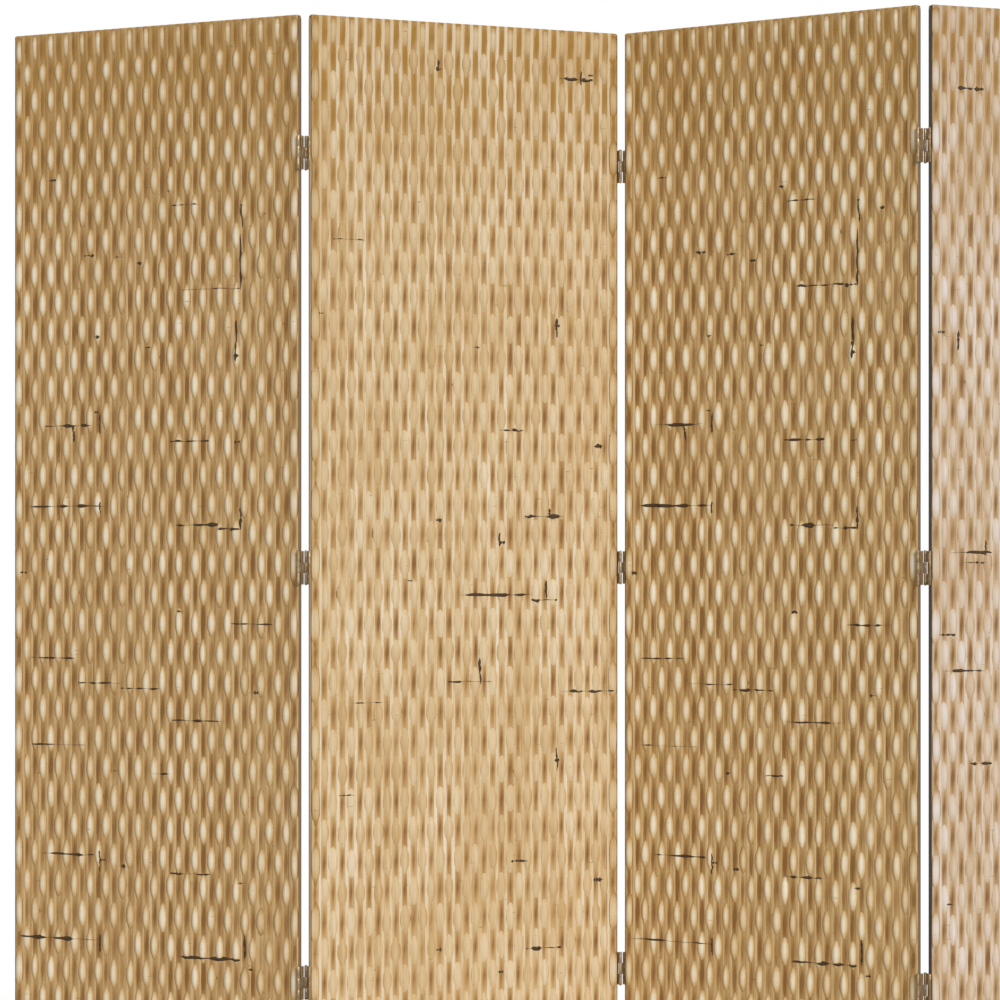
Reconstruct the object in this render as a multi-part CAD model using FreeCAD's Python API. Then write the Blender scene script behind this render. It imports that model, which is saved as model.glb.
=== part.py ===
import FreeCAD, Part
import math
import os

# Four-panel folding screen: wooden frames clad from edge to edge in woven rush, and two-way hinges.
# Millimetres, +Z up, the viewer on the -Y side. The origin is the bottom centre of the standing screen.
# In a panel's own frame X runs from its left edge to its right edge, and Y = 0 is mid-thickness.

# Panels
PANEL_WIDTH = 510.0
PANEL_HEIGHT = 1680.0
PANEL_DEPTH = 15.0  # over the rush on both faces
PANEL_TURNS = (-25.0, 22.0, -33.0, 20.0)  # each panel's turn about Z as it stands, in degrees
TOP_RADIUS = 4.0  # of the top corners

# Frame
STILE_WIDTH = 10.0
STILE_DEPTH = 8.0
STILE_BEVEL = 1.0
GROOVE_DEPTH = 4.0
RAIL_HEIGHT = 22.0
LATH_THICKNESS = 4.0  # the rails' tongues have it too
LATH_HEIGHT = 4.0
LATH_PITCH = 45.0
JOINERY_GAP = 0.1  # round the ends of rails and laths in their grooves

# Rush weave
STRAND_COUNT = 35
STRAND_RELIEF = 1.6  # how far each strand's flattened crown stands above the furrow beside it
STRAND_SHOULDER = 4.0  # width of the slope on either side of a crown
WEAVE_INSET = 1.0  # the stiles' side faces stand this far outside the rush
WEAVE_GAP = 0.2  # from the weave to the wood under it
WEAVE_WRAP = 4.0  # thickness of the rush over the top rail and under the bottom rail
FOOT_HEIGHT = 12.0  # the stiles reach this far below the weave

# Two-way hinges
HINGE_HEIGHT = 51.0
HINGE_INSET = 210.0  # from either end of the panel to the middle of the nearest hinge
HINGE_ROWS = 3
LEAF_THICKNESS = 1.6
PLATE_GAP = 0.5  # between a leaf and the link beside it, folded shut
KNUCKLE_RADIUS = 2.4
KNUCKLE_SIDES = 10  # the many small knuckles are prisms, which keeps the model light
KNUCKLE_STANDOFF = 0.3  # between the panel's face and a knuckle
KNUCKLE_GAP = 0.3  # between knuckles, along the pin
PIN_RADIUS = 1.2
PIN_GAP = 0.08  # radial, between a pin and its knuckles

# Places that follow from the sizes above
HALF_DEPTH = PANEL_DEPTH / 2
HALF_STILE = STILE_DEPTH / 2
PANEL_GAP = 3 * LEAF_THICKNESS + 2 * PLATE_GAP
PIN_SIDE = LEAF_THICKNESS + PLATE_GAP / 2  # from a panel's edge to the pin that its leaf turns on
PIN_DEPTH = HALF_DEPTH + KNUCKLE_STANDOFF + KNUCKLE_RADIUS
FRONT_PIN = FreeCAD.Vector(PANEL_WIDTH + PIN_SIDE, -PIN_DEPTH, 0)
BACK_PIN = FreeCAD.Vector(PANEL_WIDTH + PANEL_GAP - PIN_SIDE, PIN_DEPTH, 0)
WEAVE_BOTTOM = FOOT_HEIGHT
WEAVE_TOP = PANEL_HEIGHT
WEAVE_LEFT = WEAVE_INSET
WEAVE_RIGHT = PANEL_WIDTH - WEAVE_INSET
CAVITY_HALF = HALF_STILE + WEAVE_GAP
STILE_TOP = WEAVE_TOP - WEAVE_WRAP - WEAVE_GAP
BOTTOM_RAIL_Z = WEAVE_BOTTOM + WEAVE_WRAP + WEAVE_GAP
TOP_RAIL_Z = STILE_TOP - RAIL_HEIGHT
TONGUE_LEFT = STILE_WIDTH - GROOVE_DEPTH + JOINERY_GAP
SHOULDER_LEFT = STILE_WIDTH + JOINERY_GAP
HINGE_PITCH = (PANEL_HEIGHT - 2 * HINGE_INSET) / (HINGE_ROWS - 1)
KNUCKLE_LENGTH = (HINGE_HEIGHT - 2 * KNUCKLE_GAP) / 3
KNUCKLE_STEP = KNUCKLE_LENGTH + KNUCKLE_GAP


def box(x0, x1, y0, y1, z0, z1):
    """A box between two corners."""
    return Part.makeBox(x1 - x0, y1 - y0, z1 - z0, FreeCAD.Vector(x0, y0, z0))


def mirrored(shape):
    """A shape's mirror image, at the panel's other edge."""
    return shape.mirror(FreeCAD.Vector(PANEL_WIDTH / 2, 0, 0), FreeCAD.Vector(1, 0, 0))


def corner_waste(x, z):
    """What the rounding of a top left corner at x and z takes away."""
    corner = box(x, x + TOP_RADIUS, -HALF_DEPTH, HALF_DEPTH, z - TOP_RADIUS, z)
    middle = FreeCAD.Vector(x + TOP_RADIUS, -HALF_DEPTH, z - TOP_RADIUS)
    return corner.cut(Part.makeCylinder(TOP_RADIUS, PANEL_DEPTH, middle, FreeCAD.Vector(0, 1, 0)))


def left_stile():
    """An upright with a groove on its inner face, open at the top, for the rails and laths."""
    stile = box(0, STILE_WIDTH, -HALF_STILE, HALF_STILE, 0, STILE_TOP)
    uprights = [e for e in stile.Edges if e.BoundBox.ZLength > STILE_TOP / 2]
    outer = [e for e in uprights if e.BoundBox.XMax < STILE_WIDTH / 2]
    stile = stile.makeChamfer(STILE_BEVEL, outer).cut(corner_waste(0, STILE_TOP))
    groove_half = LATH_THICKNESS / 2 + JOINERY_GAP
    groove_low = BOTTOM_RAIL_Z - JOINERY_GAP
    return stile.cut(
        box(STILE_WIDTH - GROOVE_DEPTH, STILE_WIDTH, -groove_half, groove_half, groove_low, STILE_TOP)
    )


def cross_bar(left, depth, z, height):
    """A bar from left to as far from the right edge, standing on the height z."""
    return box(left, PANEL_WIDTH - left, -depth / 2, depth / 2, z, z + height)


def rail(z):
    """A rail as deep as the stiles, with a tongue at each end for their grooves."""
    tongues = cross_bar(TONGUE_LEFT, LATH_THICKNESS, z, RAIL_HEIGHT)
    return cross_bar(SHOULDER_LEFT, STILE_DEPTH, z, RAIL_HEIGHT).fuse(tongues).removeSplitter()


def laths():
    """The rods that the rush is woven round, evenly spaced between the two rails."""
    low = BOTTOM_RAIL_Z + RAIL_HEIGHT / 2
    high = TOP_RAIL_Z + RAIL_HEIGHT / 2
    spaces = round((high - low) / LATH_PITCH)
    step = (high - low) / spaces
    heights = [low + i * step - LATH_HEIGHT / 2 for i in range(1, spaces)]
    return Part.makeCompound([cross_bar(TONGUE_LEFT, LATH_THICKNESS, z, LATH_HEIGHT) for z in heights])


def strand_crowns(depth):
    """The outline of the strands' crowns from left to right across the face at a depth."""
    width = (WEAVE_RIGHT - WEAVE_LEFT) / STRAND_COUNT
    furrow = depth - math.copysign(STRAND_RELIEF, depth)
    outline = [FreeCAD.Vector(WEAVE_LEFT, furrow, 0)]
    for i in range(STRAND_COUNT):
        x = WEAVE_LEFT + i * width
        outline.append(FreeCAD.Vector(x + STRAND_SHOULDER, depth, 0))
        outline.append(FreeCAD.Vector(x + width - STRAND_SHOULDER, depth, 0))
        outline.append(FreeCAD.Vector(x + width, furrow, 0))
    return outline


def rush_weave():
    """A sleeve of upright strands over the frame, bevelled where it turns over the top and the bottom."""
    outline = strand_crowns(-HALF_DEPTH) + strand_crowns(HALF_DEPTH)[::-1]
    section = Part.Face(Part.makePolygon(outline + outline[:1]))
    sleeve = section.extrude(FreeCAD.Vector(0, 0, WEAVE_TOP - WEAVE_BOTTOM))
    sleeve.translate(FreeCAD.Vector(0, 0, WEAVE_BOTTOM))
    bevel = HALF_DEPTH - CAVITY_HALF
    side_view = [
        (-HALF_DEPTH, WEAVE_BOTTOM + bevel),
        (-CAVITY_HALF, WEAVE_BOTTOM),
        (CAVITY_HALF, WEAVE_BOTTOM),
        (HALF_DEPTH, WEAVE_BOTTOM + bevel),
        (HALF_DEPTH, WEAVE_TOP - bevel),
        (CAVITY_HALF, WEAVE_TOP),
        (-CAVITY_HALF, WEAVE_TOP),
        (-HALF_DEPTH, WEAVE_TOP - bevel),
    ]
    points = [FreeCAD.Vector(WEAVE_LEFT, y, z) for y, z in side_view]
    slab = Part.Face(Part.makePolygon(points + points[:1]))
    slab = slab.extrude(FreeCAD.Vector(WEAVE_RIGHT - WEAVE_LEFT, 0, 0))
    cavity_low = WEAVE_BOTTOM + WEAVE_WRAP
    cavity = box(0, PANEL_WIDTH, -CAVITY_HALF, CAVITY_HALF, cavity_low, WEAVE_TOP - WEAVE_WRAP)
    stile_slot = box(0, STILE_WIDTH + WEAVE_GAP, -CAVITY_HALF, CAVITY_HALF, 0, cavity_low)
    corner = corner_waste(WEAVE_LEFT, WEAVE_TOP)
    waste = [cavity, stile_slot, mirrored(stile_slot), corner, mirrored(corner)]
    return sleeve.common(slab).cut(waste)


def barrel(pin, radius, z0, z1):
    """A many-sided bar on a pin's line, with its corners at a radius."""
    step = 2 * math.pi / KNUCKLE_SIDES
    corners = [
        FreeCAD.Vector(pin.x + radius * math.cos(i * step), pin.y + radius * math.sin(i * step), z0)
        for i in range(KNUCKLE_SIDES)
    ]
    return Part.Face(Part.makePolygon(corners + corners[:1])).extrude(FreeCAD.Vector(0, 0, z1 - z0))


def bored(plate):
    """A hinge plate with its pin holes cut through."""
    hole_radius = (PIN_RADIUS + PIN_GAP) / math.cos(math.pi / KNUCKLE_SIDES)
    for pin in (FRONT_PIN, BACK_PIN):
        plate = plate.cut(barrel(pin, hole_radius, -HINGE_HEIGHT, HINGE_HEIGHT))
    return plate.removeSplitter()


def knuckle(pin, x0, x1, z0):
    """A knuckle on a pin, with the neck that joins it to the plate between x0 and x1."""
    z1 = z0 + KNUCKLE_LENGTH
    edge = math.copysign(HALF_STILE, pin.y)
    neck = box(x0, x1, min(pin.y, edge), max(pin.y, edge), z0, z1)
    return barrel(pin, KNUCKLE_RADIUS, z0, z1).fuse(neck)


def leaf(pin, x0):
    """A leaf on a stile's side face from x0, with an upper and a lower knuckle on its pin."""
    low = -HINGE_HEIGHT / 2
    x1 = x0 + LEAF_THICKNESS
    plate = box(x0, x1, -HALF_STILE, HALF_STILE, low, -low)
    for z0 in (low, low + 2 * KNUCKLE_STEP):
        plate = plate.fuse(knuckle(pin, x0, x1, z0))
    return bored(plate)


def left_leaf():
    """The leaf on the left panel's right edge, turning on the front pin."""
    return leaf(FRONT_PIN, PANEL_WIDTH)


def right_leaf():
    """The leaf on the right panel's left edge, turning on the back pin."""
    return leaf(BACK_PIN, PANEL_WIDTH + PANEL_GAP - LEAF_THICKNESS)


def link_plate():
    """The plate between the two leaves, with a middle knuckle on each pin."""
    low = -HINGE_HEIGHT / 2
    x0 = PANEL_WIDTH + LEAF_THICKNESS + PLATE_GAP
    x1 = x0 + LEAF_THICKNESS
    plate = box(x0, x1, -HALF_STILE, HALF_STILE, low, -low)
    for pin in (FRONT_PIN, BACK_PIN):
        plate = plate.fuse(knuckle(pin, x0, x1, low + KNUCKLE_STEP))
    return bored(plate)


def pin_bar(pin):
    """A plain hinge pin, as long as its hinge."""
    return Part.makeCylinder(PIN_RADIUS, HINGE_HEIGHT, FreeCAD.Vector(pin.x, pin.y, -HINGE_HEIGHT / 2))


def hinge_column(piece):
    """Copies of one hinge piece at each hinge height."""
    heights = [HINGE_INSET + i * HINGE_PITCH for i in range(HINGE_ROWS)]
    return Part.makeCompound([piece.translated(FreeCAD.Vector(0, 0, z)) for z in heights])


def turn_about(pin, degrees):
    """A turn about an upright pin."""
    return FreeCAD.Placement(FreeCAD.Vector(), FreeCAD.Rotation(FreeCAD.Vector(0, 0, 1), degrees), pin)


def moved(shape, placement):
    """A copy of a shape, carried by a placement."""
    carried = shape.copy()
    carried.Placement = placement.multiply(carried.Placement)
    return carried


# How the panels stand: a fold to the back turns on the back pins, and a fold to the front on the front pins
panel_places = [turn_about(FreeCAD.Vector(), PANEL_TURNS[0])]
link_places = []
for before, after in zip(PANEL_TURNS, PANEL_TURNS[1:]):
    bend = after - before
    link_place = panel_places[-1].multiply(turn_about(FRONT_PIN, min(bend, 0)))
    next_edge = FreeCAD.Placement(FreeCAD.Vector(PANEL_WIDTH + PANEL_GAP, 0, 0), FreeCAD.Rotation())
    link_places.append(link_place)
    panel_places.append(link_place.multiply(turn_about(BACK_PIN, max(bend, 0))).multiply(next_edge))

PANEL_PIECES = {
    "left_stile": left_stile(),
    "right_stile": mirrored(left_stile()),
    "top_rail": rail(TOP_RAIL_Z),
    "bottom_rail": rail(BOTTOM_RAIL_Z),
    "cross_laths": laths(),
    "rush_weave": rush_weave(),
}
LEFT_PANEL_HINGE_PIECES = {
    "hinge_left_leaves": hinge_column(left_leaf()),
    "hinge_front_pins": hinge_column(pin_bar(FRONT_PIN)),
}
RIGHT_PANEL_HINGE_PIECES = {
    "hinge_right_leaves": hinge_column(right_leaf()),
    "hinge_back_pins": hinge_column(pin_bar(BACK_PIN)),
}
LINK_HINGE_PIECES = {"hinge_links": hinge_column(link_plate())}

nodes = {}
for number, place in enumerate(panel_places, 1):
    for name, piece in PANEL_PIECES.items():
        nodes[f"{name}_{number}"] = moved(piece, place)
for number, link_place in enumerate(link_places, 1):
    left_place = panel_places[number - 1]
    from_left_panel = FreeCAD.Placement(FreeCAD.Vector(-PANEL_WIDTH - PANEL_GAP, 0, 0), FreeCAD.Rotation())
    right_place = panel_places[number].multiply(from_left_panel)
    for place, pieces in (
        (left_place, LEFT_PANEL_HINGE_PIECES),
        (link_place, LINK_HINGE_PIECES),
        (right_place, RIGHT_PANEL_HINGE_PIECES),
    ):
        for name, piece in pieces.items():
            nodes[f"{name}_{number}"] = moved(piece, place)

extent = Part.makeCompound(list(nodes.values())).optimalBoundingBox(False, False)
to_origin = FreeCAD.Vector(-extent.Center.x, -extent.Center.y, 0)

os.makedirs("parts", exist_ok=True)
for name, shape in nodes.items():
    shape.translate(to_origin)
    shape.exportStep(f"parts/{name}.step")

print("size", extent.XLength, extent.YLength, extent.ZLength)
for number, link_place in enumerate(link_places, 1):
    for label, pin in (("front", FRONT_PIN), ("back", BACK_PIN)):
        place = link_place.multVec(pin) + to_origin
        print("pins", number, label, round(place.x, 4), round(place.y, 4))
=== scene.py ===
"""Looks of the four-panel folding screen: woven rush, stained frames and aged brass hinges. In metres."""

import math
from collections import namedtuple

import bmesh
import bpy
import numpy as np
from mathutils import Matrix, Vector


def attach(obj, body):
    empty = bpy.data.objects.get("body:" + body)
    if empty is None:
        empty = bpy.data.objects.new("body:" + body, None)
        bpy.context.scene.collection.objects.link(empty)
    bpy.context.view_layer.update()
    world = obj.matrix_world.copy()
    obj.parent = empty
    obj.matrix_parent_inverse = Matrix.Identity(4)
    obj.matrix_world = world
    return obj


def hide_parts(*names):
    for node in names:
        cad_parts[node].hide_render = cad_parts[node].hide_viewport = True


PANELS = (1, 2, 3, 4)
GAPS = (1, 2, 3)
SEED = 1662
MM = 1000  # in a metre

# Rush strands
STRANDS = 35
AT_STILES = (0, STRANDS - 1)  # strands that lie on the stiles
RINGS_PER_LATH = 5
HALF_THICKNESS = 0.0025
SWING = 0.0046  # from the middle of the panel to the middle of a strand where it crosses a lath
SWING_SPREAD = (1.0, 1.05)
SWING_SHAPE = 0.6  # below 1, strands stay longer on the faces and change sides faster
WIDTH_AT_CROSSING = 0.36  # half widths, as shares of the room that each strand has
WIDTH_AT_LATH = 0.62
WIDTH_SPREAD = (0.94, 1.06)
WIDTH_SHAPE = 0.7  # below 1, strands stay wide for longer
WIDTH_NOISE = 0.1  # how far a line's width changes along it, and over which length
WIDTH_STEP = 0.06
WANDER = 0.0008  # how far a line strays sideways, and over which length
WANDER_STEP = 0.11
ROW_WANDER = 0.0018  # spread of the heights at which a strand crosses the laths
HOLLOW_DEPTH = 0.003  # from the middle of the panel to the ground of the hollows, where a crest starts
FLANK_DEPTH = (0.0029, 0.0046)  # where the flanks of a strand reach the ground, over laths and over stiles
PRESSED_LIFT = -0.2  # how far a strand that is pressed down counts as a crest, where 1 is a full one; below that it is painted darker, as painted shade
CORNER_RADIUS = 0.004  # of the weave's upper corners

# Strands on rails and stiles: pressed down at a swell of 0 and full at 1
WIDTH_ON_WOOD = (0.3, 0.52)  # half widths in rooms, pressed and full
THICKNESS_ON_WOOD = (0.0002, 0.0015)  # half thicknesses, likewise
WOOD_FACE = 0.00425  # from the middle of the panel to the inner face of a strand on wood
SWELL_AT_RAIL = 0.75  # at the edges of a rail
SWELL_OVER_RAIL = (0.7, 0.2)  # where a strand starts and ends its turn over a rail
SWELL_BEHIND_RAIL = 0.15
CROWN_ANGLES = (15, 45, 75, 105, 135, 165)  # degrees of the turn over a rail
CROWN_SHAPE = 0.5  # below 1, the turn is squarer than half a circle
CROWN_INSET = 0.002  # from the outer edge of a rail to where the turn starts
FOOT_INSET = 0.001  # from the lower edge of the weave to the ends of stems and of strands on stiles
END_SHARE = 0.05  # half width in rooms at a line's ends, and share of its thickness left there

# A strand's end behind the laths: way past the rail, and share of its depth left
TAIL_STEPS = ((0.005, 0.95), (0.010, 0.7), (0.014, 0.4))

# Stems that run up both faces of the laths: half width in rooms and half thickness
STEM_BETWEEN = (0.24, 0.0008)  # between two strands
STEM_AT_STILE = (0.24, 0.0014)  # between a strand over a stile and the next strand
STEM_BEHIND = (0.56, 0.0005)  # behind a strand
STEM_AT_EDGE = (0.5, 0.0003)  # behind the first and the last strand
BETWEEN_DIP = 0.2  # how much less a stem counts as a crest on the side of a hollow: painted shade there
LATH_FACE = 0.0021  # from the middle of the panel to the inner face of a stem on the laths
STEM_REACH = 0.018  # a stem comes in from a rail to the laths over this height
STEM_RINGS_PER_LATH = 2

# Front halves of the sections: place across as a share of the half width, and thickness as a share
STRAND_SECTION = (
    (-1.0, 0.0), (-0.68, 0.2), (-0.34, 0.68), (0.0, 1.0), (0.34, 0.68), (0.68, 0.2), (1.0, 0.0),
)
RIDGE_SECTION = ((-1.0, 0.0), (-0.6, 0.85), (0.6, 0.85), (1.0, 0.0))
GROUND_SECTION = ((-1.0, 0.0), (-0.6, 0.95), (0.0, 1.0), (0.6, 0.95), (1.0, 0.0))

# Random tones of the rush
TONE_STEPS = (0.05, 0.4)  # lengths of the short and the long changes along a line
LONG_TONES = 0.7  # weight of the long changes
LINE_TONES = 0.4  # spread from line to line

# Shifts on the rush's textures, so that neighbours differ
LANE_SHIFT = 1.37
BEHIND_SHIFT = 53
BETWEEN_SHIFT = 103
FLECK_SHIFT = 97
PANEL_SHIFT = 60
BACK_FACE_SHIFT = 2.0
PANEL_FACE_SHIFT = 5.0

# How each panel's rush looks: its tint, how pale its crests get, how far its top turns amber, and how far
# the stems between strands, the crowns and flanks of strands, the ground beside them and the middles of
# hollows are crests. These are lit and shaded copies of one rush: the tints make up for the light on each
# panel, and the paler crests and darker lines, flanks, ground and hollows of panels 1 and 3 are painted
# light and shade
Look = namedtuple("Look", "tint paleness amber lines crowns flanks ground hollows")
LOOKS = {
    1: Look((1.04, 1.035, 0.98), 1.1, 0.5, 0.38, 1.0, 0.05, 0.45, -0.45),
    2: Look((0.955, 0.925, 0.84), 0.65, 1.0, 1.0, 0.8, 0.6, 0.65, -0.25),
    3: Look((1.09, 1.115, 1.08), 1.1, 0.5, 0.38, 1.0, 0.05, 0.45, -0.5),
    4: Look((0.925, 0.94, 1.08), 0.75, 0.75, 0.8, 0.95, 0.5, 0.65, -0.35),
}

# Colours of the rush as 8-bit screen values, from hollow to crest, and those laid over them. The ramp from
# hollow to crest is painted shade in the hollows and painted highlight on the crests
RUSH_COLOURS = ((146, 102, 53), (188, 147, 93), (216, 182, 132), (237, 214, 178), (252, 240, 223))
AMBER_COLOUR = (174, 127, 46)
SPECK_COLOUR = (92, 66, 40)
FLECK_COLOUR = (74, 53, 30)

# The rush's noises: scales round and along a strand or across and up a panel's face, and their weights
# in its shade
FIBRE_SCALE = (26.0, 34.0, 1.0)
STEM_SCALE = (9.0, 5.0, 1.0)
STREAK_SCALE = (3.0, 14.0, 1.0)
PATCH_SCALE = (7.0, 4.5, 1.0)
SPECK_SCALE = (55.0, 330.0, 1.0)
FIBRE_WEIGHT = 0.3
STEM_WEIGHT = 0.4
STREAK_WEIGHT = 0.35
PATCH_WEIGHT = 0.2
TONE_WEIGHT = 0.08
WIDE_RANGE = (0.3, 0.7)  # between these lie most values of a noise
NARROW_RANGE = (0.35, 0.65)  # between these lie the middle values of a noise

# Other looks of the rush
CREST_RANGE = (-0.2, 0.95)  # crest values of the darkest and the palest rush: painted shade and painted highlight
PATCH_RELIEF = (0.7, 1.1)  # how strongly crests show in the patches where they show least and most
AMBER_HEIGHTS = (1.32, 1.6)  # where the amber of the top starts and where it is full
AMBER_STREAKS = (0.28, 0.55)  # noise values of streaks without amber and in full amber
AMBER_CRESTS = (0.3, 0.9)  # amber fades between these crests
AMBER_LEFT = 0.1  # share of the amber on the highest crests
SPECK_RANGE = (0.70, 0.76)  # noise values where specks start and where they are full
SPECK_STRENGTH = 0.55
RUSH_ROUGHNESS = (0.5, 0.75)
RUSH_SPECULAR = 0.35
RUSH_BUMP = (0.5, 0.0008)  # strength and distance

# Wood: dark and pale grain of each panel's stiles and of rails and laths, as 8-bit screen values. The
# stiles' colours differ by panel as painted light and shade: panel 2's are pale for light on an edge in
# shade, and panel 4's dark as painted shade
STILE_COLOURS_AND_PAINTED_LIGHT = {
    1: ((104, 78, 50), (152, 120, 84)),
    2: ((186, 152, 106), (224, 192, 146)),
    3: ((104, 78, 50), (152, 120, 84)),
    4: ((54, 40, 32), (92, 72, 56)),
}
BAR_STAIN = ((136, 98, 56), (172, 130, 80))
WORN_COLOUR = (150, 122, 90)
GRAIN_ALONG = 7.0
GRAIN_ACROSS = 260.0
GRAIN_WEIGHT = 0.55
BAND_WIDTH = 4  # in widths of the grain
BAND_WEIGHT = 0.45
WEAR_SCALE = (38.0, 38.0, 12.0)
WEAR_RANGE = (0.6, 0.78)  # noise values where wear starts and where it is full
WEAR_STRENGTH = 0.4
WOOD_ROUGHNESS = (0.42, 0.62)
WOOD_BUMP = (0.35, 0.0004)  # strength and distance

# Aged brass: bright and tarnished, as 8-bit screen values
HINGE_BRASS = ((190, 165, 125), (142, 118, 88))
PIN_BRASS = ((196, 172, 132), (150, 126, 94))
BLOTCH_SCALE = (220.0, 220.0, 160.0)
MARK_SCALE = (1500.0, 1500.0, 180.0)
TARNISH_RANGE = (0.38, 0.62)  # noise values where tarnish starts and where it is full
BRASS_METALLIC = (0.75, 0.3)  # bright and tarnished
BRASS_ROUGHNESS = (0.34, 0.6)
BRASS_BUMP = (0.15, 0.0002)  # strength and distance

# Dark flecks in the rush of the front: middle from the panel's left edge, height, length and weight, in mm
FLECKS_LEFT = (
    (68, 1448, 19, 1.0), (280, 1422, 11, 1.4), (311, 1399, 51, 0.7), (411, 1394, 7, 1.4),
    (450, 1380, 7, 1.2), (137, 1328, 19, 1.3), (192, 1323, 18, 1.0), (229, 1312, 11, 1.0),
    (345, 1269, 83, 1.4), (397, 1267, 21, 1.6), (152, 1199, 11, 1.4), (244, 1181, 11, 1.0),
    (402, 1164, 11, 1.4), (99, 1062, 86, 1.2), (150, 1083, 7, 1.5), (318, 1035, 72, 1.0),
    (402, 1032, 11, 1.4), (94, 936, 135, 1.2), (331, 905, 76, 1.6), (388, 900, 39, 1.2),
    (17, 832, 11, 1.4), (302, 771, 11, 1.5), (427, 754, 74, 1.0), (71, 698, 83, 0.8),
    (155, 660, 78, 0.8), (229, 652, 70, 1.2), (434, 649, 11, 1.5), (334, 605, 97, 0.9),
    (81, 562, 101, 0.8), (185, 523, 11, 1.0), (269, 522, 33, 0.8), (99, 391, 94, 1.3),
    (162, 384, 9, 1.4), (200, 376, 11, 1.6), (318, 369, 72, 1.1), (409, 357, 11, 1.5),
    (84, 258, 146, 1.5), (352, 240, 111, 1.7), (426, 226, 9, 1.3),
)
FLECKS_RIGHT = (
    (209, 1607, 10, 2.0), (439, 1604, 58, 1.6), (463, 1611, 10, 1.2), (62, 1340, 51, 0.7),
    (272, 1181, 10, 1.0), (406, 1217, 10, 2.2), (18, 1226, 10, 0.9), (330, 1053, 40, 1.0),
    (477, 1030, 17, 1.8), (384, 920, 67, 1.5), (209, 914, 10, 1.6), (313, 879, 13, 1.8),
    (304, 798, 120, 1.8), (385, 789, 44, 1.6), (164, 820, 16, 0.7), (260, 664, 73, 1.0),
    (458, 647, 90, 1.1), (406, 540, 10, 1.8), (91, 634, 52, 0.7), (342, 384, 30, 1.2),
    (477, 351, 17, 1.8), (384, 247, 61, 1.5), (209, 252, 10, 1.5), (312, 214, 10, 1.7),
    (58, 494, 26, 0.7),
)
FLECKS_LAST = (
    (67, 1557, 44, 1.6), (18, 1192, 14, 1.0), (68, 863, 70, 1.5), (74, 848, 37, 1.0),
    (28, 740, 27, 1.2), (59, 686, 68, 1.0), (84, 547, 38, 1.2), (32, 338, 14, 1.4),
)

# Flecks that run along a strand: middle from the panel's left edge, height and length, in mm
DROPS_LEFT = (
    (408, 1308, 86), (411, 1377, 34), (400, 1187, 64), (157, 1064, 31), (157, 933, 19), (408, 915, 35),
    (157, 382, 34), (157, 254, 28), (415, 261, 40), (109, 1049, 25),
)
DROPS_RIGHT = (
    (208, 1613, 19), (406, 1214, 31), (310, 884, 22), (389, 806, 28), (394, 925, 16), (277, 680, 42),
    (406, 541, 36), (448, 1606, 22),
)
DROPS_LAST = (
    (46, 1180, 30), (92, 870, 24),
)

# Flecks and drops of each panel
FLECK_TABLES = {
    1: (FLECKS_LEFT, DROPS_LEFT),
    2: (FLECKS_RIGHT, DROPS_RIGHT),
    3: (FLECKS_LEFT, DROPS_LEFT),
    4: (FLECKS_LAST, DROPS_LAST),
}
FLECK_HEIGHT = 0.0016  # half the height of a fleck of weight 1
FLECK_THICKNESS = 0.0004
FLECK_STEP = 0.0016
FLECK_SIDES = 6
FEWEST_STEPS = 5
FLECK_TAPER = 4  # the higher, the blunter the ends of a fleck
FLECK_END = 0.03  # share of its width at its ends
FLECK_OFFSET = 0.0004  # spread of heights
FLECK_FULLNESS = 0.6  # mean before noise, and limits after it
FULLNESS_LIMITS = (0.12, 1.5)
DROP_HALF_WIDTH = 0.0017

# Noises along flecks and drops: step as a share of the length, and amount
FLECK_WOBBLE = (0.2, 0.0006)
FLECK_SWELL = (0.12, 1.1)
DROP_WOBBLE = (0.15, 0.0008)
DROP_SWELL = (0.09, 0.5)

# Hinges
PLATE_THICKNESS = 0.0016
PLATE_HALF_DEPTH = 0.004
PLATE_BEVEL = 0.0003
HINGE_HEIGHT = 0.051
KNUCKLE_GAP = 0.0003
KNUCKLE_HEIGHT = (HINGE_HEIGHT - 2 * KNUCKLE_GAP) / 3
KNUCKLE_RADIUS = 0.0024
KNUCKLE_SEGMENTS = 28
KNUCKLE_BEVEL = 0.00025
PIN_RADIUS = 0.0012
PIN_HEAD_RADIUS = 0.0019
PIN_HEAD_HEIGHT = 0.0011
PIN_HEAD_ANGLES = (0, 25, 50, 75, 86)  # degrees up its dome
SCREW_RADIUS = 0.0026
SCREW_PITCH = 0.017
SCREW_SLOT = 0.0006  # half width
SCREW_STEPS = 12  # corners of one half of a screw's head
SCREW_START = 0.12  # angle of the first corner from the slot
BEVEL_ANGLE = math.radians(40)  # edges sharper than this are bevelled
SMOOTH_ANGLE = math.radians(35)  # edges sharper than this are not smoothed

# Rings of a screw's head: radius, and height above the plate
SCREW_RINGS = ((SCREW_RADIUS, 0.0), (SCREW_RADIUS - 0.0002, 0.0002), (SCREW_RADIUS - 0.0006, 0.0003))

# Camera
CAMERA_PLACE = (-0.1768, -5.1839, 0.8518)
FOCAL_LENGTH_PIXELS = 3377.9
HORIZON_ROW = 560.0
IMAGE_SIZE = 1000.0
SENSOR = 36.0

# Floor and light
FLOOR_MIDDLE = (0.0, -2.45, 0.0)
FLOOR_SIZE = (9.0, 7.0, 1.0)
FLOOR_COLOUR = (0.8, 0.79, 0.77, 1.0)
FLOOR_ROUGHNESS = 0.9
KEY_ENERGY = 1.76
KEY_ANGLE = math.radians(25)  # the wider, the softer its shadows
KEY_COLOUR = (0.98, 0.97, 0.95)
KEY_DIRECTION = (-0.392, 0.84, -0.375)
SURROUND_COLOUR = (0.97, 0.98, 0.98, 1.0)
SURROUND_STRENGTH = 0.325
WHITE = (1.0, 1.0, 1.0, 1.0)

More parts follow.
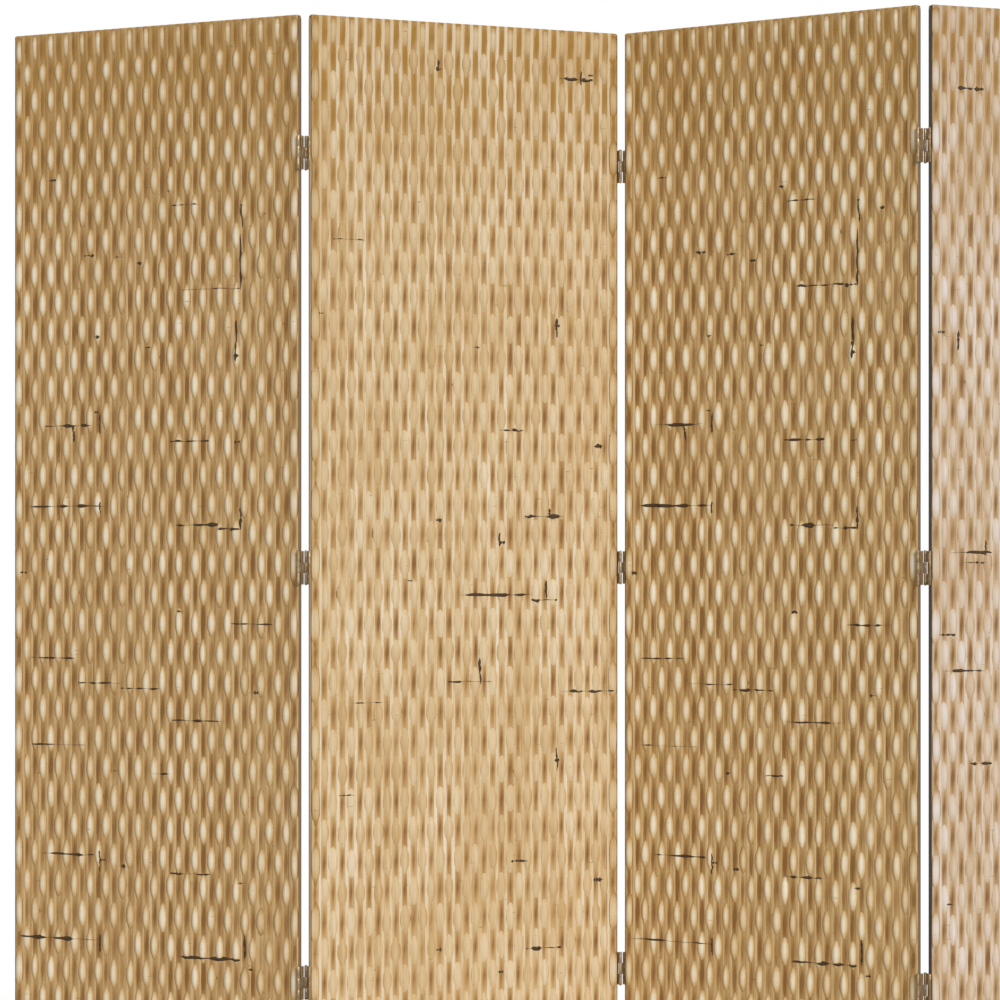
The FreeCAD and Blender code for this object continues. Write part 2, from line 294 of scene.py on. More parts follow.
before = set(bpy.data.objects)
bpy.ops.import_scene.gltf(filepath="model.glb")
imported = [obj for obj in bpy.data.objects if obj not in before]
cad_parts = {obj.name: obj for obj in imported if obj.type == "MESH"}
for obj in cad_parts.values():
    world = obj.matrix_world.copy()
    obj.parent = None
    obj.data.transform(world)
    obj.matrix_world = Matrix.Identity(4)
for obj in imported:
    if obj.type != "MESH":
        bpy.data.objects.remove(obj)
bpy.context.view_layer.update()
rng = np.random.default_rng(SEED)


def points_of(node):
    """The corners of a CAD node, one row each."""
    return np.array([v.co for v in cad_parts[node].data.vertices])


class Upright:
    """A vertical frame on the floor plan: a across a panel, b through it towards the back, z up."""

    def __init__(self, middle, across):
        self.middle = np.array(middle)
        self.across = np.array(across)
        self.back = np.array((-across[1], across[0]))

    def at(self, a, b, z):
        """The row frame's points for a, b and z of this frame."""
        a, b, z = np.broadcast_arrays(a, b, z)
        flat = self.middle + a[..., None] * self.across + b[..., None] * self.back
        return np.concatenate((flat, z[..., None]), axis=-1)

    def local(self, points):
        """a and b of points of the row frame."""
        flat = np.asarray(points)[..., :2] - self.middle
        return flat @ self.across, flat @ self.back


class Panel(Upright):
    """A panel's frame and the sizes that its rush and hinges need, read from the CAD nodes."""

    def __init__(self, number):
        rail = points_of(f"top_rail_{number}")
        left = points_of(f"left_stile_{number}")
        right = points_of(f"right_stile_{number}")
        middle = (rail.min(0) + rail.max(0))[:2] / 2
        across = np.linalg.svd(rail[:, :2] - middle)[2][0]
        across *= np.sign(across @ (right.mean(0) - left.mean(0))[:2])
        super().__init__(middle, across)
        self.number = number
        self.body = f"panel_{number}"
        self.half_width = self.local(right)[0].max()
        weave = points_of(f"rush_weave_{number}")
        self.half_depth = np.abs(self.local(weave)[1]).max()
        self.weave_half = self.local(weave)[0].max()
        self.weave_low, self.weave_high = weave[:, 2].min(), weave[:, 2].max()
        self.top_rail = rail[:, 2].min(), rail[:, 2].max()
        low_rail = points_of(f"bottom_rail_{number}")[:, 2]
        self.bottom_rail = low_rail.min(), low_rail.max()
        laths = np.unique(points_of(f"cross_laths_{number}")[:, 2].round(4)).reshape(-1, 2).mean(1)
        self.levels = np.array((self.bottom_rail[1], *laths, self.top_rail[0]))


def new_object(name, mesh, body, replaced):
    """Adds a mesh to the scene as a piece that rides on a body and stands for a CAD node."""
    piece = bpy.data.objects.new(name, mesh)
    bpy.context.scene.collection.objects.link(piece)
    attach(piece, body)
    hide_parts(replaced)


def rgb(r, g, b):
    """A colour given as 8-bit screen values."""
    screen = (r / 255, g / 255, b / 255)
    linear = [c / 12.92 if c <= 0.04045 else ((c + 0.055) / 1.055) ** 2.4 for c in screen]
    return (*linear, 1.0)


class Nodes:
    """The node tree of a material or a world, with short ways to add and join nodes."""

    def __init__(self, block):
        self.block = block
        self.block.use_nodes = True
        self.tree = self.block.node_tree

    def add(self, kind, inputs=None, **settings):
        """A node with its settings, and its inputs set to values or joined to other nodes' outputs."""
        node = self.tree.nodes.new(f"ShaderNode{kind}")
        for key, value in settings.items():
            setattr(node, key, value)
        for key, value in (inputs or {}).items():
            self.set(node.inputs[key], value)
        return node

    def set(self, socket, value):
        """Joins an output to a socket, or sets the socket's value."""
        if isinstance(value, bpy.types.NodeSocket):
            self.tree.links.new(value, socket)
        else:
            socket.default_value = value

    def shade(self, **inputs):
        """Sets or joins the sockets of a material's shader."""
        for key, value in inputs.items():
            self.set(self.tree.nodes["Principled BSDF"].inputs[key.replace("_", " ")], value)

    def attribute(self, name):
        """A mesh attribute's value."""
        return self.add("Attribute", attribute_name=name).outputs["Fac"]

    def math(self, operation, a, b=0.0, clamp=False):
        """A math node's output."""
        return self.add("Math", {0: a, 1: b}, operation=operation, use_clamp=clamp).outputs[0]

    def between(self, value, low, high, to_low=0.0, to_high=1.0):
        """A value's range, mapped to another and clamped."""
        inputs = {"Value": value, "From Min": low, "From Max": high, "To Min": to_low, "To Max": to_high}
        return self.add("MapRange", inputs).outputs[0]

    def noise(self, where, scale, detail=3.0, roughness=0.55):
        """A noise texture's value at stretched coordinates."""
        spread = self.add("Mapping", {"Vector": where, "Scale": scale}).outputs[0]
        inputs = {"Vector": spread, "Scale": 1.0, "Detail": detail, "Roughness": roughness}
        return self.add("TexNoise", inputs).outputs[0]

    def spread(self, value, amount):
        """A noise value, centred on zero and scaled."""
        return self.math("MULTIPLY", self.math("SUBTRACT", value, 0.5), amount)

    def mix(self, factor, a, b, blend="MIX"):
        """Two colours mixed."""
        node = self.add("Mix", data_type="RGBA", blend_type=blend)
        for socket, value in zip([s for s in node.inputs if s.type == "RGBA"], (a, b)):
            self.set(socket, value)
        self.set(node.inputs["Factor"], factor)
        return [s for s in node.outputs if s.type == "RGBA"][0]

    def ramp(self, factor, colours):
        """A colour ramp through evenly spaced colours, given as 8-bit screen values."""
        node = self.add("ValToRGB", {"Fac": factor})
        elements = node.color_ramp.elements
        while len(elements) < len(colours):
            elements.new(0.5)
        for i, colour in enumerate(colours):
            elements[i].position = i / (len(colours) - 1)
            elements[i].color = rgb(*colour)
        return node.outputs[0]

    def bump(self, height, strength, distance):
        """A bump map's normal."""
        inputs = {"Height": height, "Strength": strength, "Distance": distance}
        return self.add("Bump", inputs).outputs[0]


def rush_material(name, look):
    """Dried rush: pale straw crests and brown hollows, which are painted highlight and painted shade, amber
    tops, fine fibres and dark flecks.
    """
    n = Nodes(bpy.data.materials.new(name))
    along = n.add("UVMap", uv_map="strand").outputs[0]
    on_face = n.add("UVMap", uv_map="face").outputs[0]
    crest = n.between(n.attribute("crest"), *CREST_RANGE)
    fibres = n.noise(along, FIBRE_SCALE, detail=4.0, roughness=0.6)
    stems = n.noise(along, STEM_SCALE, detail=2.0)
    streaks = n.noise(along, STREAK_SCALE, detail=2.0)
    patches = n.noise(on_face, PATCH_SCALE)
    # Painted shade and highlight: the lower the crest value, the darker the rush; each panel's paleness
    # makes its crests paler still
    low_half = n.between(crest, 0.0, 0.5, 0.0, 0.5)
    high_half = n.between(crest, 0.5, 1.0, 0.0, 0.5 * look.paleness)
    level = n.math("SUBTRACT", n.math("ADD", low_half, high_half), 0.5)
    relief = n.math("MULTIPLY", level, n.between(patches, *NARROW_RANGE, *PATCH_RELIEF))
    shade = n.math("ADD", n.math("ADD", relief, 0.5), n.math("MULTIPLY", n.attribute("tone"), TONE_WEIGHT))
    for noise, weight in ((stems, STEM_WEIGHT), (streaks, STREAK_WEIGHT), (fibres, FIBRE_WEIGHT)):
        shade = n.math("ADD", shade, n.spread(noise, weight))
    shade = n.math("ADD", shade, n.spread(patches, PATCH_WEIGHT), clamp=True)
    # Painted light: each panel's tint makes up for the light that falls on that panel
    colour = n.mix(1.0, n.ramp(shade, RUSH_COLOURS), (*look.tint, 1.0), "MULTIPLY")
    height = n.add("SeparateXYZ", {0: on_face}).outputs["Y"]
    amber = n.math("MULTIPLY", n.between(height, *AMBER_HEIGHTS), n.between(streaks, *AMBER_STREAKS))
    fading = n.between(crest, *AMBER_CRESTS, look.amber, AMBER_LEFT * look.amber)
    colour = n.mix(n.math("MULTIPLY", amber, fading), colour, rgb(*AMBER_COLOUR))
    specks = n.noise(on_face, SPECK_SCALE, detail=2.0, roughness=0.5)
    colour = n.mix(n.between(specks, *SPECK_RANGE, 0.0, SPECK_STRENGTH), colour, rgb(*SPECK_COLOUR))
    colour = n.mix(n.attribute("fleck"), colour, rgb(*FLECK_COLOUR))
    n.shade(Base_Color=colour, Roughness=n.between(fibres, *WIDE_RANGE, *RUSH_ROUGHNESS))
    n.shade(Specular_IOR_Level=RUSH_SPECULAR, Normal=n.bump(n.math("ADD", fibres, stems), *RUSH_BUMP))
    return n.block


def wood_material(name, turn, grain_colours):
    """Stained wood with its grain along z, or along a panel where turn gives the panel's angle. Its colours
    may also carry painted light and shade.
    """
    n = Nodes(bpy.data.materials.new(name))
    place = n.add("TexCoord").outputs["Object"]
    if turn is None:
        stretch = (GRAIN_ACROSS, GRAIN_ACROSS, GRAIN_ALONG)
    else:
        place = n.add("Mapping", {"Vector": place, "Rotation": (0.0, 0.0, -turn)}).outputs[0]
        stretch = (GRAIN_ALONG, GRAIN_ACROSS, GRAIN_ACROSS)
    grain = n.noise(place, stretch, detail=4.0, roughness=0.65)
    bands = n.noise(place, tuple(s / BAND_WIDTH for s in stretch), detail=2.0)
    wear = n.noise(place, WEAR_SCALE, detail=4.0, roughness=0.7)
    shade = n.math("ADD", n.math("MULTIPLY", grain, GRAIN_WEIGHT), n.math("MULTIPLY", bands, BAND_WEIGHT))
    colour = n.ramp(n.between(shade, *WIDE_RANGE), grain_colours)
    colour = n.mix(n.between(wear, *WEAR_RANGE, 0.0, WEAR_STRENGTH), colour, rgb(*WORN_COLOUR))
    n.shade(Base_Color=colour, Roughness=n.between(grain, *WIDE_RANGE, *WOOD_ROUGHNESS))
    n.shade(Normal=n.bump(grain, *WOOD_BUMP))
    return n.block


def brass_material(name, bright, tarnished):
    """Aged brass: a warm metal dulled by brown tarnish, with fine rubbing marks."""
    n = Nodes(bpy.data.materials.new(name))
    place = n.add("TexCoord").outputs["Object"]
    blotches = n.noise(place, BLOTCH_SCALE, detail=5.0, roughness=0.65)
    marks = n.noise(place, MARK_SCALE)
    dull = n.between(blotches, *TARNISH_RANGE)
    n.shade(Base_Color=n.mix(dull, rgb(*bright), rgb(*tarnished)))
    n.shade(Metallic=n.between(dull, 0.0, 1.0, *BRASS_METALLIC))
    n.shade(Roughness=n.between(blotches, *NARROW_RANGE, *BRASS_ROUGHNESS))
    n.shade(Normal=n.bump(marks, *BRASS_BUMP))
    return n.block


def smooth_noise(length, step):
    """A smooth random function on 0..length, about -1 to 1, that changes over about one step."""
    knots = np.arange(-step, length + 2 * step, step)
    values = rng.uniform(-1.0, 1.0, len(knots))

    def value(x):
        i = np.clip(((x - knots[0]) / step).astype(int), 0, len(knots) - 2)
        t = (x - knots[i]) / step
        t = t * t * (3 - 2 * t)
        return values[i] * (1 - t) + values[i + 1] * t

    return value


def phase(z, levels):
    """For heights among levels: the level below, and a cosine from 1 there to -1 at the next level."""
    row = np.clip(np.searchsorted(levels, z, side="right") - 1, 0, len(levels) - 2)
    return row, np.cos(np.pi * (z - levels[row]) / (levels[row + 1] - levels[row]))


def waved(z, levels, values, shape=1.0):
    """Values that swing from level to level along a cosine, flattened at the levels by a shape below 1."""
    row, turn = phase(z, levels)
    share = (1 - np.sign(turn) * np.abs(turn) ** shape) / 2
    return values[row] * (1 - share) + values[row + 1] * share


def start_side(k):
    """The side of a panel that its k-th strand starts on at the bottom rail, with -1 for the front."""
    return 1.0 if k % 2 else -1.0


def sides_from(side, levels):
    """The sides of a strand at levels, from its side at the first one."""
    return side * (-1.0) ** np.arange(len(levels))


def heights_between(levels, rings):
    """Ring heights: a number of rings from each level to the next."""
    steps = [np.linspace(lo, hi, rings, endpoint=False) for lo, hi in zip(levels, levels[1:])]
    return np.concatenate((*steps, levels[-1:]))


def on_wood(swell):
    """Depth, half width and half thickness of a strand that lies on wood and swells from 0 to 1."""
    swell = np.asarray(swell)
    width, thick = [low + (high - low) * swell for low, high in (WIDTH_ON_WOOD, THICKNESS_ON_WOOD)]
    return WOOD_FACE + thick, width, thick


class Line:
    """The path of one strand or stem, ring by ring.

    Each ring has a depth, a height, a half width in rooms, a half thickness, and a lift, which is how far
    its face counts as a crest.
    """

    def __init__(self, *parts):
        self.parts = [np.asarray(part, float) for part in parts]
        self.depth, self.height, self.width, self.thick, self.lift = self.parts
        steps = np.hypot(np.diff(self.depth), np.diff(self.height))
        self.run = np.concatenate(([0.0], np.cumsum(steps)))

    def joined(self, *others):
        """This line followed by others."""
        lines = (self, *others)
        return Line(*[np.concatenate(parts) for parts in zip(*(line.parts for line in lines))])

    def turned(self):
        """The same line from its other end."""
        return Line(*[part[::-1] for part in self.parts])

    def pinch(self, ends):
        """Narrows the rings at ends almost to a point."""
        self.width[ends] = END_SHARE
        self.thick[ends] *= END_SHARE


def wood_line(side, height, swell):
    """A straight run on one face of the wood, with side -1 for the front."""
    depth, width, thick = on_wood(swell)
    return Line(side * depth, height, width, thick, PRESSED_LIFT + (1 - PRESSED_LIFT) * swell)


def over_crown(side, edge, crown):
    """A strand's turn from an edge height on one face of the wood over the crown to the other face."""
    angles = np.radians(CROWN_ANGLES)
    line = wood_line(side, np.full(len(angles), edge), np.linspace(*SWELL_OVER_RAIL, len(angles)))
    rise = crown - edge - math.copysign(THICKNESS_ON_WOOD[1], crown - edge)
    line.depth *= np.sign(np.cos(angles)) * np.abs(np.cos(angles)) ** CROWN_SHAPE
    line.height += rise * np.sin(angles) ** CROWN_SHAPE
    # Painted shade: the turn over a rail counts as no crest, so it is painted darker, for the shade along
    # the top edge
    line.lift[:] = 0.0
    return line


def round_rail(side, rail, crown):
    """A strand from the inner edge of a rail over its crown, down the other face, and in behind the laths.

    rail gives the heights of its inner and outer edge.
    """
    inner, outer = rail
    up = math.copysign(1.0, crown - inner)
    edge = outer - CROWN_INSET * up
    middle = (inner + outer) / 2
    face = wood_line(side, np.array((middle, edge)), np.array((1.0, SWELL_AT_RAIL)))
    far_swell = np.array((SWELL_BEHIND_RAIL, 0.0, SWELL_BEHIND_RAIL))
    far = wood_line(-side, np.array((edge, middle, inner)), far_swell)
    way, left = np.array(TAIL_STEPS).T
    tail = wood_line(-side, inner - up * way, np.full(len(way), SWELL_BEHIND_RAIL))
    tail.depth *= left
    tail.pinch([-1])
    return face.joined(over_crown(side, edge, crown), far, tail)


def woven_line(panel, side):
    """A strand between the stiles: round the bottom rail, over and under laths and round the top rail."""
    ends = [0, -1]
    shift = rng.normal(0.0, ROW_WANDER, len(panel.levels))
    shift[ends] = 0.0
    levels = panel.levels + np.clip(shift, -2 * ROW_WANDER, 2 * ROW_WANDER)
    sides = sides_from(side, levels)
    swings = SWING * rng.uniform(*SWING_SPREAD, len(levels))
    widths = WIDTH_AT_LATH * rng.uniform(*WIDTH_SPREAD, len(levels))
    wood_depth, wood_width, wood_thick = on_wood(SWELL_AT_RAIL)
    swings[ends] = wood_depth
    widths[ends] = wood_width
    at_wood = np.zeros(len(levels))
    at_wood[ends] = 1.0
    z = heights_between(levels, RINGS_PER_LATH)
    row, turn = phase(z, levels)
    nearest = np.where(turn > 0, row, row + 1)
    width = WIDTH_AT_CROSSING + (widths[nearest] - WIDTH_AT_CROSSING) * np.abs(turn) ** WIDTH_SHAPE
    thick = HALF_THICKNESS + (wood_thick - HALF_THICKNESS) * waved(z, levels, at_wood)
    depth = waved(z, levels, sides * swings, SWING_SHAPE)
    line = Line(depth, z, width, thick, np.ones(len(z)))
    lower = round_rail(sides[0], panel.bottom_rail[::-1], panel.weave_low)
    upper = round_rail(sides[-1], panel.top_rail, panel.weave_high)
    return lower.turned().joined(line, upper)


def heights_to_crown(panel, rings):
    """Ring heights from a panel's foot to where the turn over its top rail starts, and that last height."""
    edge = panel.top_rail[1] - CROWN_INSET
    return heights_between(np.array((panel.weave_low + FOOT_INSET, *panel.levels, edge)), rings), edge


def edge_line(panel, side):
    """A strand over a stile: up the front face, over the top and down the back face."""
    z, edge = heights_to_crown(panel, RINGS_PER_LATH)
    crowns = (1 - sides_from(side, panel.levels)) / 2
    swell = waved(z, panel.levels, crowns, SWING_SHAPE)
    front = wood_line(-1.0, z, swell)
    back = wood_line(1.0, z[::-1], 1 - swell[::-1])
    line = front.joined(over_crown(-1.0, edge, panel.weave_high), back)
    line.pinch([0, -1])
    return line


def stem_line(panel, side, face, width, thickness):
    """A stem: up the front of the laths or the wood, over the top rail and down the back.

    Its lift is 1 where the strand that starts on a side at the bottom rail is behind it, and -1 where that
    strand is in front.
    """
    levels = panel.levels
    z, edge = heights_to_crown(panel, STEM_RINGS_PER_LATH)
    inside = np.minimum(z - levels[0], levels[-1] - z)
    depth = thickness + WOOD_FACE + (face - WOOD_FACE) * np.clip(inside / STEM_REACH, 0, 1)
    wide = np.full(len(z), width)
    thick = np.full(len(z), thickness)
    swing = waved(z, levels, sides_from(side, levels))
    front = Line(-depth, z, wide, thick, swing)
    back = Line(depth, z, wide, thick, -swing)
    crown = over_crown(-1.0, edge, panel.weave_high)
    crown.width[:] = width
    line = front.joined(crown, back.turned())
    line.pinch([0, -1])
    return line


def fleck_way(length):
    """Steps along a fleck from -0.5 to 0.5, and how full it is at each one."""
    way = np.linspace(-0.5, 0.5, max(FEWEST_STEPS, int(length / MM / FLECK_STEP)))
    return way, (1 - (2 * way) ** FLECK_TAPER) ** 0.5 + FLECK_END


def noise_along(way, step, amount):
    """Smooth noise along a fleck's way."""
    return amount * smooth_noise(1.0, step)(way + 0.5)


def fleck_paths(panel, flecks, drops):
    """Flecks of the front as places across, heights and half widths along each; drops run along strands."""
    paths = []
    for x, z, length, weight in flecks:
        way, full = fleck_way(length)
        wobble = noise_along(way, *FLECK_WOBBLE) + rng.normal(0.0, FLECK_OFFSET)
        swell = np.clip(FLECK_FULLNESS + noise_along(way, *FLECK_SWELL), *FULLNESS_LIMITS)
        half = FLECK_HEIGHT * weight * swell
        paths.append((x / MM - panel.half_width + way * length / MM, z / MM + wobble, half * full))
    for x, z, length in drops:
        way, full = fleck_way(length)
        wobble = noise_along(way, *DROP_WOBBLE)
        half = DROP_HALF_WIDTH * (1 + noise_along(way, *DROP_SWELL))
        paths.append((x / MM - panel.half_width + wobble, z / MM + way * length / MM, half * full))
    return paths


def ring_section(front):
    """A whole section from its front half: places across, and thicknesses towards the back."""
    back = [(across, -thick) for across, thick in front[-2:0:-1]]
    across, thick = np.array((*front, *back)).T
    return across, -thick


class Weave:
    """Collects strands, stems or flecks of one panel into one mesh.

    fronts is a list, shared by a panel's meshes, of what lies on the front face.
    """

    def __init__(self, panel, fronts):
        self.panel = panel
        self.look = LOOKS[panel.number]
        self.fronts = fronts
        self.room = 2 * panel.weave_half / STRANDS
        self.points, self.faces = [], []
        self.strand_uv, self.face_uv = [], []
        self.values = {"tone": [], "crest": [], "fleck": []}
        self.count = 0

    def add_strand(self, k):
        """Adds the strand in the k-th room from the left."""
        at_stile = k in AT_STILES
        line = (edge_line if at_stile else woven_line)(self.panel, start_side(k))
        place, _, out = self.rings(line, k + 0.5, STRAND_SECTION, FLANK_DEPTH[at_stile])
        # Painted shade and highlight: the further a strand's face stands out, the paler it is painted; the
        # panel's flanks and crowns set how dark and how pale
        outward = np.sign(out * place[1]) * np.abs(place[1])
        crest = (outward - HOLLOW_DEPTH) / (self.panel.half_depth - HOLLOW_DEPTH)
        crest = line.lift[:, None] * (self.look.flanks + (self.look.crowns - self.look.flanks) * crest)
        self.add_tube(place, self.tone(line), crest, 0.0, line.run, LANE_SHIFT * k)

    def add_stems(self, k):
        """Adds the stem behind the k-th strand, and the one between it and the strand to its left."""
        face, size = (WOOD_FACE, STEM_AT_EDGE) if k in AT_STILES else (LATH_FACE, STEM_BEHIND)
        line = stem_line(self.panel, start_side(k), face, *size)
        place, across, _ = self.rings(line, k + 0.5, GROUND_SECTION)
        # Painted shade: the ground behind a strand is painted darker towards the middle of a hollow
        dip = (self.look.ground - self.look.hollows) * (1 - np.abs(across))
        crest = self.look.ground - dip * (1 + line.lift[:, None]) / 2
        self.add_tube(place, self.tone(line), crest, 0.0, line.run, LANE_SHIFT * k + BEHIND_SHIFT)
        if k == 0:
            return
        size = STEM_AT_STILE if k in (1, STRANDS - 1) else STEM_BETWEEN
        line = stem_line(self.panel, start_side(k), LATH_FACE, *size)
        place, across, _ = self.rings(line, k, RIDGE_SECTION)
        # Painted shade: a stem between strands is painted darker on the side of a hollow
        crest = self.look.lines - BETWEEN_DIP * (1 + across * line.lift[:, None]) / 2
        self.add_tube(place, self.tone(line), crest, 0.0, line.run, LANE_SHIFT * k + BETWEEN_SHIFT)

    def tone(self, line):
        """Random tones along a line."""
        short, long = [smooth_noise(line.run[-1], step)(line.run) for step in TONE_STEPS]
        return (rng.normal(0.0, LINE_TONES) + (short + LONG_TONES * long))[:, None]

    def rings(self, line, lane, section, flanks=1.0):
        """Points of a line's rings at a lane counted in rooms, and each one's place across and outward.

        Where a line lies further out than the depth of its flanks, it is arched down to them.
        """
        panel = self.panel
        length = line.run[-1]
        across, out = ring_section(section)
        middle = lane * self.room - panel.weave_half + WANDER * smooth_noise(length, WANDER_STEP)(line.run)
        half_width = self.room * line.width * (1 + WIDTH_NOISE * smooth_noise(length, WIDTH_STEP)(line.run))
        arch = np.sign(line.depth) * np.maximum(np.abs(line.depth) - flanks, 0)
        rising = np.where(np.diff(line.height, append=line.height[-1]) > 0)[0]
        parts = (line.height, middle, half_width, line.depth, line.thick, arch)
        self.fronts.append((section, [part[rising] for part in parts]))
        slope = np.stack((np.gradient(line.depth), np.gradient(line.height)), axis=1)
        slope /= np.linalg.norm(slope, axis=1)[:, None]
        a = middle[:, None] + half_width[:, None] * across
        b = line.depth[:, None] - arch[:, None] * across**2 + line.thick[:, None] * slope[:, 1:] * out
        z = line.height[:, None] - line.thick[:, None] * slope[:, :1] * out
        rise = np.clip(z - (panel.weave_high - CORNER_RADIUS), 0, CORNER_RADIUS)
        limit = panel.weave_half - CORNER_RADIUS + np.sqrt(CORNER_RADIUS**2 - rise**2)
        out = out * np.where(slope[:, 1:] < 0, -1.0, 1.0)
        return (np.clip(a, -limit, limit), b, z), across, out

    def surface(self, a, z):
        """Depth of the front face of the rush at places across and heights."""
        lowest = np.zeros_like(a)
        for section, (heights, *parts) in self.fronts:
            across, out = np.array(section).T
            middle, half, depth, body, arch = [np.interp(z, heights, part) for part in parts]
            share = (a - middle) / half
            face = depth - arch * share**2 - body * np.interp(share, across, out)
            lowest = np.where(np.abs(share) < 1, np.minimum(lowest, face), lowest)
        return lowest

    def add_fleck(self, a, z, half, number):
        """Adds a dark fibre that lies on the front face along a path."""
        way = np.stack((np.gradient(a), np.gradient(z)), axis=1)
        way /= np.linalg.norm(way, axis=1)[:, None]
        turn = np.arange(FLECK_SIDES) * 2 * np.pi / FLECK_SIDES
        wide = half[:, None] * np.cos(turn)
        depth = self.surface(a, z)[:, None] - FLECK_THICKNESS * np.sin(turn)
        place = (a[:, None] - way[:, 1:] * wide, depth, z[:, None] + way[:, :1] * wide)
        self.add_tube(place, 0.0, 1.0, 1.0, np.arange(len(a)) * FLECK_STEP, FLECK_SHIFT + number)

    def add_tube(self, place, tone, crest, fleck, run, shift):
        """Adds rings of points and the faces between them, with maps along a strand and on the face."""
        a, b, z = place
        rings, sides = a.shape
        self.points.append(self.panel.at(a, b, z).reshape(-1, 3))
        for name, value in (("tone", tone), ("crest", crest), ("fleck", fleck)):
            self.values[name].append(np.broadcast_to(value, a.shape).ravel())
        i, j = np.meshgrid(np.arange(rings - 1), np.arange(sides), indexing="ij")
        after = (j + 1) % sides
        ring = np.stack((i, i, i + 1, i + 1), axis=-1)
        side = np.stack((j, after, after, j), axis=-1)
        self.faces.append(self.count + (ring * sides + side).reshape(-1, 4))
        self.count += rings * sides
        u = np.stack((j, j + 1, j + 1, j), axis=-1) / sides + shift + PANEL_SHIFT * self.panel.number
        self.strand_uv.append(np.stack((u, run[ring]), axis=-1).reshape(-1, 2))
        face_shift = np.where(b > 0, BACK_FACE_SHIFT, 0.0) + PANEL_FACE_SHIFT * self.panel.number
        self.face_uv.append(np.stack((a + face_shift, z), axis=-1)[ring, side].reshape(-1, 2))

    def finish(self, name, material):
        """Makes the mesh and puts it in the CAD weave's place."""
        name = f"{name}_{self.panel.number}"
        mesh = bpy.data.meshes.new(name)
        mesh.from_pydata(np.concatenate(self.points).tolist(), [], np.concatenate(self.faces).tolist())
        for key, coords in (("strand", self.strand_uv), ("face", self.face_uv)):
            mesh.uv_layers.new(name=key).data.foreach_set("uv", np.concatenate(coords).ravel())
        for key, values in self.values.items():
            mesh.attributes.new(key, "FLOAT", "POINT").data.foreach_set("value", np.concatenate(values))
        mesh.shade_smooth()
        mesh.materials.append(material)
        new_object(name, mesh, self.panel.body, f"rush_weave_{self.panel.number}")


class Plates:
    """Collects hinge plates, knuckles, pins and screws of one node into one mesh."""

    def __init__(self, upright):
        self.upright = upright
        self.mesh = bmesh.new()

    def point(self, a, b, z):
        """A new corner."""
        return self.mesh.verts.new(self.upright.at(np.array(a), np.array(b), np.array(z)))

    def skin(self, loops, ends):
        """Faces from each loop of corners to the next, and over the loops at the ends."""
        faces = [self.mesh.faces.new(loop) for loop in ends]
        for low, high in zip(loops, loops[1:]):
            for i in range(len(low)):
                j = (i + 1) % len(low)
                faces.append(self.mesh.faces.new((low[i], low[j], high[j], high[i])))
        bmesh.ops.recalc_face_normals(self.mesh, faces=faces)
        return faces

    def prism(self, outline, bottom, height, bevel):
        """A bar with an outline in a and b, its sharp edges bevelled."""
        loops = [[self.point(a, b, z) for a, b in outline] for z in (bottom, bottom + height)]
        edges = {e for f in self.skin(loops, loops) for e in f.edges}
        sharp = [e for e in edges if e.calc_face_angle() > BEVEL_ANGLE]
        bmesh.ops.bevel(self.mesh, geom=sharp, offset=bevel, segments=2, profile=0.5, affect="EDGES")

    def plate(self, a0, a1, z):
        """A flat plate between a0 and a1, as high as the hinge, about the height z."""
        front, back = -PLATE_HALF_DEPTH, PLATE_HALF_DEPTH
        outline = [(a0, front), (a1, front), (a1, back), (a0, back)]
        self.prism(outline, z - HINGE_HEIGHT / 2, HINGE_HEIGHT, PLATE_BEVEL)

    def knuckle(self, a0, a1, pin, bottom):
        """The end of a plate between a0 and a1, rolled round a pin at (a, b)."""
        out = math.copysign(1.0, pin[1])
        start, end = [math.acos((a - pin[0]) / KNUCKLE_RADIUS) for a in (a1, a0)]
        roll = []
        for t in np.linspace(start, end - 2 * math.pi, KNUCKLE_SEGMENTS):
            a = pin[0] + KNUCKLE_RADIUS * math.cos(t)
            roll.append((a, pin[1] - out * KNUCKLE_RADIUS * math.sin(t)))
        root = out * (PLATE_HALF_DEPTH - PLATE_THICKNESS)
        self.prism([(a1, root), *roll, (a0, root)], bottom, KNUCKLE_HEIGHT, KNUCKLE_BEVEL)

    def lathe(self, middle, rings):
        """A round form about an upright line through (a, b), from (radius, height) rings."""
        a, b = middle
        turn = np.arange(KNUCKLE_SEGMENTS) * 2 * math.pi / KNUCKLE_SEGMENTS
        loops = []
        for radius, z in rings:
            loops.append([self.point(a + radius * math.cos(t), b + radius * math.sin(t), z) for t in turn])
        self.skin(loops, (loops[0], loops[-1]))

    def screw(self, a, z, out):
        """A slotted screw head in a plate's face at a, with out the side that the face looks to."""
        turn = np.linspace(SCREW_START, math.pi - SCREW_START, SCREW_STEPS)
        for half in (1, -1):
            loops = []
            for radius, proud in SCREW_RINGS:
                rises = [half * max(radius * math.sin(t), SCREW_SLOT) for t in turn]
                depths = [radius * math.cos(t) for t in turn]
                loops.append([self.point(a + out * proud, b, z + rise) for b, rise in zip(depths, rises)])
            self.skin(loops, loops[-1:])

    def finish(self, node, body, material, slot):
        """Makes the mesh and puts it in a CAD node's place."""
        mesh = bpy.data.meshes.new(f"fine_{node}")
        self.mesh.to_mesh(mesh)
        self.mesh.free()
        mesh.materials.append(material)
        mesh.shade_smooth()
        mesh.set_sharp_from_angle(angle=SMOOTH_ANGLE)
        new_object(f"fine_{node}", mesh, body, node)


def hinge_heights(gap):
    """Middle heights of a gap's hinges."""
    z = np.sort(np.unique(points_of(f"hinge_links_{gap}")[:, 2].round(4)))
    groups = np.split(z, np.where(np.diff(z) > 2 * HINGE_HEIGHT)[0] + 1)
    return [(g.min() + g.max()) / 2 for g in groups]


def pin_middle(gap, name):
    """The middle of a gap's pins on one face."""
    corners = points_of(f"hinge_{name}_pins_{gap}")
    return (corners.min(0) + corners.max(0)) / 2


